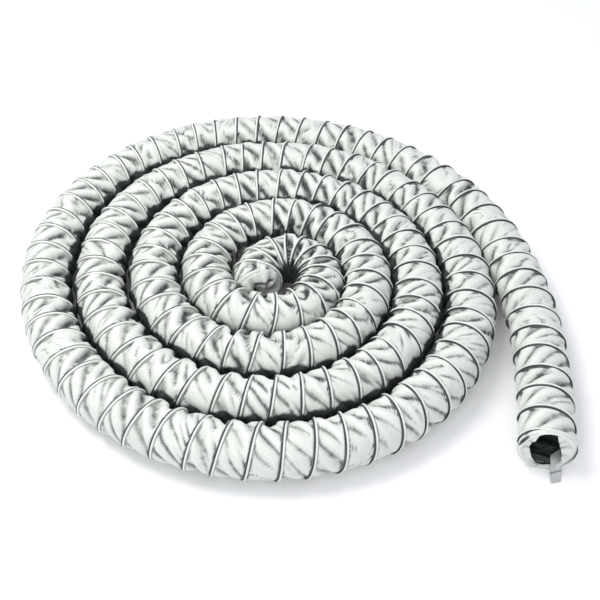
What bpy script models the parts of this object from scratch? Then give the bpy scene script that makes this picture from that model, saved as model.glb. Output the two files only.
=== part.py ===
"""Fire-rated flexible air duct, lying coiled flat with its mouth end run straight out.

A coated-cloth sleeve is sewn in one long helix over a spring-steel wire. The sewn hem stands
proud as a ridge, sharp on the mouth side, where the wire lies under it. The cloth is turned in
at the mouth as a flat ring, and a cloth strap comes out over its lower lip.
Metres, +Z up. The duct lies on z = 0 and its mouth faces -Y.
"""
import bpy
import bmesh
import numpy as np

# Duct
HEM_DIAMETER = 0.100        # flat to flat over the hem ridges
HEM_HEIGHT = 0.0035         # ridge above the cloth beside it
HEM_WIDTH = 0.008           # flat top of the ridge, along the duct
HEM_SHARE = 0.34            # most of a wire pitch that the hem may take inside a bend
DROP = 0.0003               # length over which the ridge falls away on its mouth side
WALL = 0.0013               # cloth and coating, drawn thicker than the real 0.5 mm
SIDES = 8                   # flats round the duct, one of them down

# Wire pitch along the duct, as shares of the hem diameter at these turns of the coil
PITCH_TURNS = (0.8, 1.05, 1.9, 3.9)
PITCH_SHARES = (0.30, 0.42, 0.43, 0.4925)
CLOSING_TURNS = 1.0         # wire turns at the mouth that lie closer together
CLOSING_SHARE = 0.34
RIM_LENGTH = 0.0075         # cloth past the last wire turn, and before the first one

# Wire
WIRE_RADIUS = 0.0011
WIRE_SIDES = 3
WIRE_BELOW_HEM = 0.0005     # the hem, not the wire, is what touches the floor
GAP = 0.0003

# Coil, seen from above, wound clockwise from its inner end. The turns between the first loop
# and the tail follow a spiral that is slightly oval.
COIL_GAP = 0.0025               # from one turn to the next, at the least
COIL_UNIT = HEM_DIAMETER + COIL_GAP
COIL_PITCH = 0.9962 * COIL_UNIT
COIL_RADIUS_START = 0.0958 * COIL_UNIT
COIL_START_ANGLE = -1.4217
COIL_OVAL = 0.0904 * COIL_UNIT
COIL_SHIFT = 0.0156 * COIL_UNIT
COIL_TURNS_AT_FULL_OVAL = 4.6
LOOP_TURN = 1.188               # the first loop, inside this turn, bends ever tighter
LOOP_EASE = 4.04 * COIL_UNIT    # length over which it reaches its tightest bend
LOOP_RADIUS = 0.628 * COIL_UNIT
LOOP_LENGTH = 4.18 * COIL_UNIT  # from the coil in to the duct's inner end
TAIL_TURN = 4.694               # the tail leaves the coil here and bends ever less
TAIL_EASE = 6.85 * COIL_UNIT
TAIL_LENGTH = 6.27 * COIL_UNIT  # from the coil to the mouth
ROUTE_STEP = HEM_DIAMETER / 200

# Cuff turned in at the mouth: an uneven opening, one reach for each corner of the section,
# as shares of the hem diameter
CUFF_SHARES = (0.31, 0.29, 0.26, 0.31, 0.33, 0.29, 0.31, 0.32)

# Strap at the mouth
STRAP_WIDTH = 0.018
STRAP_THICKNESS = 0.0015
STRAP_INSIDE = 0.045        # length that lies on the bore, behind the cuff
STRAP_OUTSIDE = 0.027       # length that lies on the floor, in front of the mouth
STRAP_SETBACK = 0.006       # how far the strap rises and falls behind and ahead of the lip
STRAP_SIDE = 0.002          # off the duct's middle, to its left
STRAP_SLANT = 0.013         # how much further left its end lies on the floor

COLLECTION = "fire_rated_air_duct"

FLAT = HEM_DIAMETER / 2
FOOT = FLAT - HEM_HEIGHT
BORE = FOOT - WALL
CUFF_REACH = HEM_DIAMETER * np.array(CUFF_SHARES)
TO_CORNER = 1 / np.cos(np.pi / SIDES)
CORNERS = np.pi / SIDES + np.arange(SIDES) * 2 * np.pi / SIDES


def coil_point(turn):
    """Centreline of the coil in plan, for turns counted outward from the middle."""
    angle = COIL_START_ANGLE - 2 * np.pi * turn
    grown = (1 + turn / COIL_TURNS_AT_FULL_OVAL) / 2
    radius = COIL_RADIUS_START + COIL_PITCH * turn
    radius = radius - grown * (COIL_SHIFT * np.cos(angle) + COIL_OVAL * np.sin(2 * angle))
    return np.stack([radius * np.cos(angle), radius * np.sin(angle)], axis=-1)


def walk(point, heading, bends, way):
    """Points and headings of a line walked from a point, outward (way 1) or inward (way -1)."""
    headings = heading + way * ROUTE_STEP * np.cumsum(bends)
    steps = way * ROUTE_STEP * np.stack([np.cos(headings), np.sin(headings)], axis=-1)
    return point + np.cumsum(steps, axis=0), headings


def make_route():
    """Plan points, headings and coil turns at even steps of length, inner end to mouth."""
    turns = np.linspace(LOOP_TURN, TAIL_TURN, 20001)
    step = np.diff(coil_point(turns), axis=0)
    length = np.concatenate([[0], np.cumsum(np.linalg.norm(step, axis=1))])
    turns = np.interp(np.arange(0, length[-1], ROUTE_STEP), length, turns)
    plan = coil_point(turns)
    step = np.diff(plan, axis=0)
    heading = np.unwrap(np.arctan2(step[:, 1], step[:, 0]))
    heading = np.append(heading, 2 * heading[-1] - heading[-2])
    part = len(heading) // 100
    first_bend = (heading[part] - heading[0]) / (part * ROUTE_STEP)
    last_bend = (heading[-1] - heading[-1 - part]) / (part * ROUTE_STEP)

    along = np.arange(1, int(LOOP_LENGTH / ROUTE_STEP) + 1) * ROUTE_STEP
    share = np.minimum(along / LOOP_EASE, 1)
    share = share ** 2 * (3 - 2 * share)
    loop, loop_heading = walk(plan[0], heading[0],
                              first_bend - (1 / LOOP_RADIUS + first_bend) * share, -1)
    loop_turns = LOOP_TURN - (loop_heading - heading[0]) / (2 * np.pi)

    along = np.arange(1, int(TAIL_LENGTH / ROUTE_STEP) + 1) * ROUTE_STEP
    tail, tail_heading = walk(plan[-1], heading[-1],
                              last_bend * np.maximum(1 - along / TAIL_EASE, 0), 1)
    return (np.concatenate([loop[::-1], plan, tail]),
            np.concatenate([loop_heading[::-1], heading, tail_heading]),
            np.concatenate([loop_turns[::-1], turns, np.full(len(along), TAIL_TURN)]))


PLAN, HEADING, TURNS = make_route()
LENGTHS = np.arange(len(PLAN)) * ROUTE_STEP
TOTAL = LENGTHS[-1]
BEND = np.gradient(HEADING, ROUTE_STEP)


def route_at(s):
    """Plan point and heading at lengths s."""
    x = np.interp(s, LENGTHS, PLAN[:, 0])
    y = np.interp(s, LENGTHS, PLAN[:, 1])
    return x, y, np.interp(s, LENGTHS, HEADING)


def duct_point(s, around, flat, ahead=0):
    """Point at length s, angle around the duct from its left side (the coil's outer side)
    up over the top, on a section whose flats lie at the radius flat. ahead moves the point
    along the heading, in true length."""
    x, y, heading = route_at(s)
    side = flat * TO_CORNER * np.cos(around)
    up = flat * TO_CORNER * np.sin(around)
    return np.stack([x - side * np.sin(heading) + ahead * np.cos(heading),
                     y + side * np.cos(heading) + ahead * np.sin(heading),
                     up + FLAT], axis=-1)


def stretch_at(s, around):
    """How much longer the cloth at this angle is than the centreline, in a bend."""
    bend = np.interp(s, LENGTHS, BEND)
    return 1 - bend * FLAT * TO_CORNER * np.cos(around)


def wire_turns():
    """Lengths at which the wire crosses each corner line, in order along the helix."""
    share = np.interp(TURNS, PITCH_TURNS, PITCH_SHARES)
    pitch = share * HEM_DIAMETER
    count = np.concatenate([[0], np.cumsum(ROUTE_STEP / pitch[1:])])
    start = np.interp(RIM_LENGTH, LENGTHS, count)
    whole = int(np.interp(TOTAL, LENGTHS, count) - start + CLOSING_TURNS * (1 - CLOSING_SHARE))
    steps = np.full(whole * SIDES - 1, 1.0)
    steps[len(steps) - int(CLOSING_TURNS * SIDES):] = CLOSING_SHARE
    phase = np.concatenate([[0], np.cumsum(steps)]) / SIDES
    room = np.interp(TOTAL - RIM_LENGTH, LENGTHS, count) - start
    phase = start + phase * room / phase[-1]
    return np.interp(phase, count, LENGTHS)


CROSSINGS = wire_turns()
COLUMN = np.arange(len(CROSSINGS)) % SIDES
# The helix is left-handed: towards the mouth it turns from the top to the coil's outer side.
AROUND = CORNERS[(-COLUMN) % SIDES]


def pitch_here():
    """True distance from each crossing to the next one on the same corner line."""
    following = np.append(CROSSINGS[SIDES:], CROSSINGS[-SIDES:] + 2 * RIM_LENGTH)
    middle = (following + CROSSINGS) / 2
    return (following - CROSSINGS) * stretch_at(middle, AROUND)


def hem_start():
    """Where the hem's flat top begins on each corner line, narrower inside a tight bend."""
    width = np.minimum(HEM_WIDTH, HEM_SHARE * pitch_here())
    return duct_point(CROSSINGS, AROUND, FLAT, -width)


def add_object(name, bm, colour, metallic, roughness, collection):
    bmesh.ops.triangulate(bm, faces=bm.faces[:])
    bmesh.ops.recalc_face_normals(bm, faces=bm.faces[:])
    if bm.calc_volume(signed=True) < 0:
        bmesh.ops.reverse_faces(bm, faces=bm.faces[:])
    mesh = bpy.data.meshes.new(name)
    bm.to_mesh(mesh)
    bm.free()
    material = bpy.data.materials.new(name + "_material")
    material.use_nodes = True
    shader = material.node_tree.nodes["Principled BSDF"]
    shader.inputs["Base Color"].default_value = (*colour, 1)
    shader.inputs["Metallic"].default_value = metallic
    shader.inputs["Roughness"].default_value = roughness
    mesh.materials.append(material)
    obj = bpy.data.objects.new(name, mesh)
    collection.objects.link(obj)
    return obj


def add_points(bm, points):
    return [bm.verts.new(point) for point in points]


def stitch(bm, left, right):
    """Faces between two lines of vertices. The right line may start or end with more."""
    for a, b, c, d in zip(left[:-1], left[1:], right[1:], right[:-1]):
        bm.faces.new((a, b, c, d))


def make_sleeve(collection, shift):
    rows = {
        "rise": hem_start(),
        "edge": duct_point(CROSSINGS, AROUND, FLAT),
        "foot": duct_point(CROSSINGS, AROUND, FOOT, DROP),
        "bore": duct_point(CROSSINGS, AROUND, BORE, DROP),
    }
    bm = bmesh.new()
    rows = {name: add_points(bm, points + shift) for name, points in rows.items()}
    ends = CORNERS[(-np.arange(SIDES)) % SIDES]
    start = np.zeros(SIDES)
    stop = np.full(SIDES, TOTAL)
    outer_start = add_points(bm, duct_point(start, ends, FOOT) + shift)
    inner_start = add_points(bm, duct_point(start, ends, BORE) + shift)
    outer_stop = add_points(bm, duct_point(stop, ends, FOOT) + shift)
    reach = CUFF_REACH[(-np.arange(SIDES)) % SIDES] / TO_CORNER
    lip_front = add_points(bm, duct_point(stop, ends, reach) + shift)
    lip_back = add_points(bm, duct_point(stop, ends, reach, -WALL) + shift)
    inner_stop = add_points(bm, duct_point(stop, ends, BORE, -WALL) + shift)

    def outside(column):
        line = [outer_start[column]]
        for index in range(column, len(CROSSINGS), SIDES):
            line += [rows["rise"][index], rows["edge"][index], rows["foot"][index]]
        return line + [outer_stop[column]]

    def inside(column):
        line = [inner_start[column]] + rows["bore"][column::SIDES]
        return line + [inner_stop[column]]

    for line, ring in ((outside, 3), (inside, 1)):
        lines = [line(column) for column in range(SIDES)]
        for column in range(SIDES - 1):
            stitch(bm, lines[column], lines[column + 1])
        # the last line meets the first one a whole wire turn further on
        last, first = lines[-1], lines[0]
        stitch(bm, last[1:-1 - ring], first[1 + ring:-1])
        bm.faces.new((last[0], last[1], first[0]))
        for a, b in zip(first[:1 + ring], first[1:2 + ring]):
            bm.faces.new((last[1], b, a))
        for a, b in zip(last[-2 - ring:-1], last[-1 - ring:]):
            bm.faces.new((a, b, first[-2]))
        bm.faces.new((last[-1], first[-1], first[-2]))
    rings = [(outer_start, inner_start), (outer_stop, lip_front), (lip_front, lip_back),
             (lip_back, inner_stop)]
    for one, other in rings:
        for k in range(SIDES):
            n = (k + 1) % SIDES
            bm.faces.new((one[k], one[n], other[n], other[k]))
    return add_object("duct_sleeve", bm, (0.62, 0.64, 0.62), 0.0, 0.45, collection)


def make_wire(collection, shift):
    """Spring wire under the mouth side of the hem, a three-sided section with a flat outward."""
    low = FLAT - WIRE_BELOW_HEM - WIRE_RADIUS * (1 + np.cos(2 * np.pi / WIRE_SIDES) * -1)
    half = WIRE_RADIUS * np.sin(2 * np.pi / WIRE_SIDES)
    top = FLAT - WIRE_BELOW_HEM
    near = DROP + GAP
    corners = [(top, near), (top, near + 2 * half), (low, near + half)]
    bm = bmesh.new()
    rows = [add_points(bm, duct_point(CROSSINGS, AROUND, flat, ahead) + shift)
            for flat, ahead in corners]
    for k in range(WIRE_SIDES):
        stitch(bm, rows[k], rows[(k + 1) % WIRE_SIDES])
    bm.faces.new([row[0] for row in rows])
    bm.faces.new([row[-1] for row in rows])
    return add_object("wire_helix", bm, (0.30, 0.31, 0.31), 1.0, 0.35, collection)


def strap_middle(along):
    """How far left of the duct's middle the strap lies, at a length past the mouth."""
    outside = np.clip((along - GAP) / (STRAP_SETBACK + STRAP_OUTSIDE), 0, 1)
    return STRAP_SIDE + STRAP_SLANT * outside


def make_strap(collection, shift):
    """Ribbon from the bore, up over the lower lip of the cuff and down to the floor."""
    lip = FLAT - min(CUFF_REACH[5], CUFF_REACH[6]) * np.sin(CORNERS[1])
    bore = FLAT - BORE + GAP
    over = lip + GAP
    path = [(-STRAP_INSIDE, bore), (-WALL - STRAP_SETBACK, bore), (-WALL - GAP, over),
            (GAP, over), (GAP + STRAP_SETBACK, 0), (GAP + STRAP_SETBACK + STRAP_OUTSIDE, 0)]
    path = np.array(path)
    ways = np.diff(path, axis=0)
    ways /= np.linalg.norm(ways, axis=1)[:, None]
    normals = np.stack([-ways[:, 1], ways[:, 0]], axis=-1)
    joined = np.concatenate([normals[:1], normals[:-1] + normals[1:], normals[-1:]])
    joined /= np.linalg.norm(joined, axis=1)[:, None]
    reach = np.concatenate([[1], 1 / np.sum(joined[1:-1] * normals[1:], axis=1), [1]])
    upper = path + joined * reach[:, None] * STRAP_THICKNESS
    x, y, heading = route_at(TOTAL)
    forward = np.array([np.cos(heading), np.sin(heading), 0])
    left = np.array([-np.sin(heading), np.cos(heading), 0])
    bm = bmesh.new()
    rows = []
    for line, side in ((path, -1), (path, 1), (upper, 1), (upper, -1)):
        points = [np.array([x, y, z]) + along * forward
                  + (strap_middle(along) + side * STRAP_WIDTH / 2) * left for along, z in line]
        rows.append(add_points(bm, np.array(points) + shift))
    for k in range(len(rows)):
        stitch(bm, rows[k], rows[(k + 1) % len(rows)])
    bm.faces.new([row[0] for row in rows])
    bm.faces.new([row[-1] for row in rows])
    return add_object("strap", bm, (0.55, 0.56, 0.56), 0.0, 0.7, collection)


def main():
    for obj in list(bpy.data.objects):
        bpy.data.objects.remove(obj)
    collection = bpy.data.collections.new(COLLECTION)
    bpy.context.scene.collection.children.link(collection)
    hull = np.concatenate([duct_point(CROSSINGS, AROUND, FLAT), hem_start()])
    x, y, heading = route_at(TOTAL)
    reach = GAP + STRAP_SETBACK + STRAP_OUTSIDE
    front = (y + reach * np.sin(heading)
             + (strap_middle(reach) + STRAP_WIDTH / 2) * np.cos(heading))
    low = np.minimum(hull.min(axis=0), [x, front, 0])
    high = hull.max(axis=0)
    shift = np.array([-(low[0] + high[0]) / 2, -(low[1] + high[1]) / 2, 0])
    make_sleeve(collection, shift)
    make_wire(collection, shift)
    make_strap(collection, shift)
    print("length", round(TOTAL, 4), "wire turns", len(CROSSINGS) / SIDES,
          "mouth at", np.round([x + shift[0], y + shift[1]], 5),
          "heading", np.round(np.degrees(heading) % 360, 2))


main()
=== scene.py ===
"""Looks for the fire-rated air duct: coated cloth, creased between the turns of its spring wire.

The cloth of each wire pitch is settled by a small position-based cloth solve in numpy: it can't
stretch, so where the duct bends it stays taut on the outside and folds on the inside.
Metres, in the row's frame. A noise is given as samples from knot to knot, size and seed.
"""

import bpy
import numpy as np
from mathutils import Matrix, Vector

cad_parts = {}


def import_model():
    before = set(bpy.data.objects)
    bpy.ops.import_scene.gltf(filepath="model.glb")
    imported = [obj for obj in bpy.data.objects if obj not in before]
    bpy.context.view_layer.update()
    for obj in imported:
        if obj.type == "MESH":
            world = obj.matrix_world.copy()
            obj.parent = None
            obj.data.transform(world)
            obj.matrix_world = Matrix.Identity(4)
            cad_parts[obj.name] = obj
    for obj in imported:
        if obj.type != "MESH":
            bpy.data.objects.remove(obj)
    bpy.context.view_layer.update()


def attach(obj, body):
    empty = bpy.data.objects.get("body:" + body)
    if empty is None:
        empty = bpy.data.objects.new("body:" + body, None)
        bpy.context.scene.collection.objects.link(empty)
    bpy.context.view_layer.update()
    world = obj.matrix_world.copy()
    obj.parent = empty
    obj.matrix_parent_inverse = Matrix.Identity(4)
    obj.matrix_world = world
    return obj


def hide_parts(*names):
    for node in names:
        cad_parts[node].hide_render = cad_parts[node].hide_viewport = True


TWO_PI = 2 * np.pi
TINY = 1e-9                   # keeps a division by a length safe
N_AROUND = 80                 # columns of cloth to a wire turn
N_ALONG = 18                  # cells of cloth from one wire turn to the next
SLEEVE_PIECES = 6

# ---- the duct's section
RADIUS = 0.0518               # over the sewn hem
FOOT = 0.0484                 # cloth beside the hem
HEIGHT = 0.0512               # the duct's centreline above the floor
HEM = 0.0042                  # width of the sewn hem
RIM = 0.004                   # cloth before the first wire turn and past the last one
# the sewn hem: share of its width behind the wire, share of its height, and its painted shade (a
# painted highlight on top, painted shade at its edges)
HEM_PROFILE = ((-0.96, 0.34, 0.5), (-0.84, 0.72, -0.6), (-0.62, 0.94, -1), (-0.36, 1.0, -1),
               (-0.12, 0.86, -1), (0.0, 0.50, 0.2), (0.04, 0.10, 1))
HEM_NOISE = (N_AROUND / 4, 0.00035, 5)
HEM_SHARE = 0.30              # most of the gap between two wires that it takes
WIRE_RADIUS = 0.0012
WIRE_SIDES = 5
WIRE_GAP = 0.0004             # between the hem and the wire
WIRE_LIFT = 0.0019            # its middle above the cloth beside the hem
CLOTH_START = 2 * WIRE_RADIUS + WIRE_GAP  # where the cloth leaves the wire
CLOTH_LOW = FOOT - 0.0004     # and how far from the duct's middle
JOIN_UNDER = 0.0006           # how far the sleeve's last row goes under the wire
HEM_STEP = 0.001              # from row to row of the hem, in cloth coordinates
SUNK = 0.0010                 # of the wire under the cloth, mostly on top
SUNK_NOISE = (N_AROUND / 9, 0.8, 6)

# ---- how far the pieces stay above the floor
CLOTH_ABOVE = 0.0008
PRESSED_ABOVE = 0.0006
END_ABOVE = 0.0004
THIN_ABOVE = 0.0002

# ---- the coil's route, in turns of the coil and in shares of UNIT
UNIT = 0.1025                 # from one turn of the coil to the next
SHIFT = (-0.03254, -0.02575)  # centre of the spiral in the row's frame
COIL_START_ANGLE = -1.4217
COIL_RADIUS_START = 0.0958
COIL_PITCH = 0.9962
COIL_SHIFT = 0.0156
COIL_OVAL = 0.0904
COIL_TURNS = 4.6              # at which the oval is full
COIL_SAMPLES = 20001
ROUTE_STEP = 0.0005
LOOP_TURN = 1.175             # the first loop, inside this turn, bends ever tighter
LOOP_EASE = 5.5 * UNIT        # length over which it reaches its tightest bend
LOOP_RADIUS = 0.53 * UNIT
LOOP_LENGTH = 4.88 * UNIT     # from the coil in to the duct's inner end
TAIL_TURN = 4.694             # the tail leaves the coil here and bends ever less
TAIL_EASE = 6.85 * UNIT
TAIL_LENGTH = 6.33 * UNIT     # from the coil to the mouth
DRIFT = (0.0056, 0.0097)      # of the innermost turn against the outermost
BULGE = (-0.0022, 0.0046)     # of the middle turns, twice round the coil
SPREAD = 0.0042               # of the outer turns, at the front left
SPREAD_ANGLE = 3.6
SPREAD_SHARES = (0.45, 0.35)  # of the coil's radius: its start and its growth
BEND_WINDOW = 81              # samples over which the bend is evened
BEND_ROUNDS = 3

# ---- the wire turns along it
PITCH_TURNS = (0.75, 1.05, 1.9, 3.9)
PITCHES = (0.0285, 0.0425, 0.0455, 0.0497)
CLOSING_SHARE = 0.10          # of a pitch, up to the last wire turn
WOBBLES = ((N_AROUND / 3, 0.0015, 3), (N_AROUND * 1.3, 0.0025, 4))
WOBBLE_FADE = 1.5 * N_AROUND  # samples at each end over which it dies away
WOBBLE_PITCH = 0.05           # at which the wobble is whole
LEAST_STRETCH = 0.08          # of the duct's inner side in a tight bend

# ---- the cloth between two wire turns, and its solve
CLOTH_PITCH = 0.0563          # cloth between one wire turn and the next when it is taut
LEAST_CLOTH = 0.001
SPARE_CLOTH = 1.045           # at the least, against the gap
CLOTH_NOISE = (N_AROUND / 3, 0.03, 32)
MOST_SLACK = 0.6
TWIST = -0.10                 # radians that each pitch of cloth is wound up by
TWIST_RANGE = (-1.3, 2.2)
LEAST_TWIST = 0.6
TWIST_NOISE = (N_AROUND / 4, 1.0, 31)
ROUNDS = 110
REACH = (0.034, RADIUS - 0.0008)  # least and most distance from the duct's middle
SHEAR_PUSH = 0.8
BEND_STEPS = (2, 4, 6)
STIFFNESS = 0.13

# ---- folds that slant from wire to wire
FOLD_SEED = 41
FOLD_GAP = (0.016, 0.046)     # from one fold to the next
FOLD_HALF = (0.0060, 0.0150)  # half the width of a fold
FOLD_LEAN = 0.026             # how far a fold slants on its way between wires
FOLD_LEAN_SPREAD = 0.011
FOLD_ODDS = 0.65              # that a fold slants the usual way
FOLD_BACK = -0.8              # slant of the others, as a share
FOLD_SIZE = (0.45, 1.5)       # share of the full depth
FOLD_FROM = (-0.5, 0.3)       # share of the way where a fold starts, and where it ends
FOLD_TO = (0.7, 1.5)
FOLD_ENDS = 0.3               # share of the way over which it runs out
FOLD_BOW = 0.004              # of its middle off the straight line
FOLD_SPAN = 0.09              # how far a fold may reach to each side
FOLD_DEPTH = (0.0030, 0.020)  # of cloth without slack, and what full slack adds

# ---- small flat facets
FACET_SEED = 71
FACET_WIDTH = 0.013           # round the duct
FACET_ROWS = 4                # from one wire turn to the next
FACET_NOISE = ((N_AROUND / 9, 0.35, FACET_SEED + 2), (N_AROUND / 12, 0.3, FACET_SEED + 3))
FACET_DEPTH = (0.0013, 0.003)  # without slack, and what full slack adds

# ---- painted shade of the cloth: -1 is a painted highlight on a ridge, 1 is painted shade in a crease
# each with the measure that counts as 1, the least and the most of it, and its weight
# painted shade in hollows, painted dark lines in valleys and highlights on ridges, and one side of
# each fold painted darker, as if lit from one side
HOLLOW_SHADE = (0.0045, -0.6, 0.6, 0.22)
LINE_SHADE = (0.0024, -0.6, 1.6)
LEAST_LINE = 0.24
SLOPE_SHADE = (0.006, -0.4, 0.4, 0.45)
SOFT_ROUNDS = 10              # of evening out
# painted shade beside the wire and the hem, and where the cloth lies deep
WIRE_SHADES = (0.8, 0.2)      # of the two rows beside the wire
HEM_SHADE = 0.6               # of the row beside the hem
DEEP = (0.006, 0.012, 0.6)    # depth below the foot
# painted shade at the join, where the hem meets the next turn's wire
JOIN_SHADE = 0.9              # where the hem meets the next turn's wire

# ---- painted shade in the gap beside the next turn
GAP_ROOM = 0.0175             # between the two turns' sides
GAP_SOFT = 0.006              # change of room over which it gets dark
GAP_OPEN = 0.006              # less room round the first loop
GAP_OPEN_TURNS = (2.2, 0.6)   # where that starts, and the turns over which it grows
GAP_FOLDED = (1.6, 0.006)     # what folded-in cloth adds, for each length and at the most
GAP_NOISE = (7, 0.0022, 61)
GAP_SHADE = 1.25              # of the darkest place
# painted shade as dark pits between the wires
PIT = (-0.0035, 0.0075)       # room at the wires, and what the middle between them adds
OUTER_TURNS = (TAIL_TURN - 0.93, 0.1)  # up to which the outer side has a neighbour
INNER_TURNS = (1.0, 0.15)     # from which, and up to which, the inner side has one
INNER_TURNS_END = (TAIL_TURN - 0.10, 0.08)
# painted shade of a dark hole in the middle of the first loop
HOLE_SIDE = (0.036, 0.010)    # from the duct's middle, in the first loop
HOLE_TURNS = (1.0, 0.2)

# ---- the inner end, pushed against the next turn
PRESS_LENGTH = 0.14           # of the duct from its inner end
PRESS_FADE = 0.04
PRESS_REACH = RADIUS + 0.0006  # from the other turn's middle
PRESS_AGAINST = slice(int(0.30 / ROUTE_STEP), int(0.90 / ROUTE_STEP), 10)
# painted shade where the inner end is pressed against the next turn
PRESS_SHADE = 0.004           # push at which the cloth is as dark as in a crease
END_PLEATS = (52, (4, 7, 10, 13), 0.0012)  # seed, waves round the duct and size
END_START = 0.001             # along the duct, where the cloth starts to fold in
END_SLACK = (0.002, 2)        # its sag, and what the pleats add to it
# painted shade in the pleats of the inner end, a painted highlight on their crests
END_SHADE = 0.002             # pleat that counts as 1 in its shade
END_TURNED_IN = 0.86          # share of the way to the middle
END_HOLLOW = 0.012            # of the folded-in cloth, into the duct
END_RISE = 0.004              # of its middle, out again
END_SAG = 0.020
END_DEEPER = 4.5              # how much the pleats grow on the way to the middle
# painted shade, darker towards the middle of the folded-in end
END_CAP_SHADE = 0.0013        # the same, of the folded-in cloth
END_DARK_FROM = 0.8           # share of the way in
END_DARK = 4                  # shade added for each share of the way from there
FOLD_IN = (-0.030, 0.016, 0.030)  # its one deep fold: right end, left end and height
FOLD_IN_HALF = 0.0045         # half its width
FOLD_IN_AHEAD = 0.005         # its depth, into the duct
# painted shade in the deep fold
FOLD_IN_SHADE = 1.2
FOLD_IN_ENDS = 0.004          # length over which it runs out at each end
FOLD_IN_SLANT = 0.12          # rise for each length to the left

# ---- the mouth
# where the wire shows, the cloth beside it is painted dark as shade
CUFF_BARE = ((-0.28, 0.66), (2.75, 0.28))  # where the wire shows: angle and width
CUFF_THIN = (1.62, 0.42)      # where the lip is thin
CUFF_COVER = FOOT + 0.0034    # cloth over the last wire turn
CUFF_PLEATS = (51, (5, 8, 11, 14), 0.0008)
BARE_COVER = 0.0036           # less cover where the wire is bare
# rows over the last wire turn: above the foot or the cover, ahead of the wire, and painted shade
CUFF_FOOT_ROWS = ((-0.0006, -0.0085, 0.4), (0.0008, -0.0070, 0.1))
CUFF_COVER_ROWS = ((-0.0006, -0.0050, -0.3), (0.0, -0.0010, -0.5), (-0.0004, 0.0024, 0.1))
# rows round the lip: above the foot and past the duct's end
LIP_ROWS = ((0.0006, -0.0016), (-0.0004, 0.0), (-0.0022, 0.0012))
LIP_THIN = 0.0030             # how far out it lies where it is thin
LIP_BARE = 0.0032             # and in where the wire is bare
LIP_BACK = 0.0030             # and how far back
# painted highlight round the lip
LIP_SHADE = -0.8
TURNED_IN = FOOT - 0.0026     # where the cloth turns in to the opening
TURNED_IN_MOST = FOOT - 0.0024
TURNED_IN_SAG = 0.0025
TURNED_IN_BACK = 0.003
# painted shade in the pleats of the cloth turned in
TURNED_IN_SHADE = 0.0016      # pleat that counts as 1 in its shade
# rows from the opening back into the bore: inset and past the duct's end
BORE_ROWS = ((0.0006, -0.0045), (-0.0012, -0.0062), (-0.0050, -0.0075))
BORE_MOST = FOOT - 0.0020
# painted shade in the bore
BORE_SHADE = 0.4
# corners of the opening in the cloth turned in: left of the middle, above it
CUFF_CORNERS = ((-0.0330, 0.0049), (-0.0150, 0.0480), (0.0064, 0.0490), (0.0191, 0.0123),
                (0.0262, -0.0067), (0.0290, -0.0300), (0.0180, -0.0420), (-0.0118, -0.0452),
                (-0.0229, -0.0271), (-0.0287, -0.0106))
LINING_TURNS = 7
LINING_INSIDE = 0.0016        # of the cloth
LINING_SEAM = FOOT - 0.0024
# painted highlight along the seams inside
LINING_SEAM_SHADE = -0.6

# ---- the strap
# left of the middle, past the mouth, above the floor
STRAP_PATH = ((0.0205, -0.026, 0.0185), (0.0210, -0.020, 0.0182), (0.0214, -0.014, 0.0176),
              (0.0218, -0.008, 0.0155), (0.0222, -0.001, 0.0116), (0.0225, 0.005, 0.0080),
              (0.0230, 0.012, 0.0040), (0.0235, 0.019, 0.0016), (0.0240, 0.0260, 0.0014))
STRAP_POINTS = 64
STRAP_WIDTH = 0.0192
STRAP_THICKNESS = 0.0014
STRAP_CURL = 0.0012
STRAP_CURL_LENGTH = 0.011
# a crease across it, with painted shade in it
STRAP_CREASE = (0.0195, 0.003, 0.0012)  # across it: how far from its end, slant and width
STRAP_CUT = 0.02              # length over which its slanting ends fade
STRAP_SLANTS = (0.0080, 0.0035)  # of the end inside and of the end on the floor
# its section: shares of half its width and of half its thickness
STRAP_SECTION = ((-1, 0), (-0.97, 0.8), (-0.9, 1), (-0.6, 0.9), (-0.2, 1.05), (0.2, 0.95),
                 (0.6, 1.0), (0.9, 1), (0.97, 0.8), (1, 0), (0.97, -0.8), (0.9, -1), (0, -1),
                 (-0.9, -1), (-0.97, -0.8))

# ---- surfaces: a cloth's colours are those of its painted highlight on ridges, between them, and of its painted shade in creases
CLOTH_COLOURS = (0.690, 0.705, 0.658), (0.590, 0.605, 0.562), (0.036, 0.044, 0.040)
# the inner face's colours are near black: painted shade inside the duct
LINING_COLOURS = (0.07, 0.085, 0.085), (0.035, 0.045, 0.045), (0.01, 0.014, 0.014)
STRAP_COLOURS = (0.56, 0.57, 0.56), (0.42, 0.43, 0.43), (0.05, 0.06, 0.06)
# the two colours that a noise mixes
WIRE_COLOURS = (0.02, 0.028, 0.027), (0.07, 0.085, 0.083)
FLOOR_COLOURS = (0.85, 0.85, 0.852), (0.87, 0.87, 0.872)
MIDDLE_PLACE = 0.52           # of the middle colour, between bright and dark
MOTTLE = (26, 6)              # scale and detail of its noise
MOTTLE_SHADE = 0.30
SHADE_ENDS = (-0.6, 1.15)     # shade and mottle of the brightest and darkest colour
CRUMPLE = (70, 6, 0.6)        # scale, detail and roughness of its noise
CRUMPLE_BUMP = (0.5, 0.003)   # strength and height
WEAVE_SCALE = 380
WEAVE_UNEVEN = 0.7
WEAVE_BUMP = (0.3, 0.0003)
CLOTH_ROUGHNESS = (0.46, 0.66)  # with the mottle
CLOTH_METALLIC = 0.08
WIRE_SURFACE = (120, 0.45, 0.4, 0.0002)  # noise scale, roughness, metallic and bump height
FLOOR_SURFACE = (3, 0.9, 0, 0.0)

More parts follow.
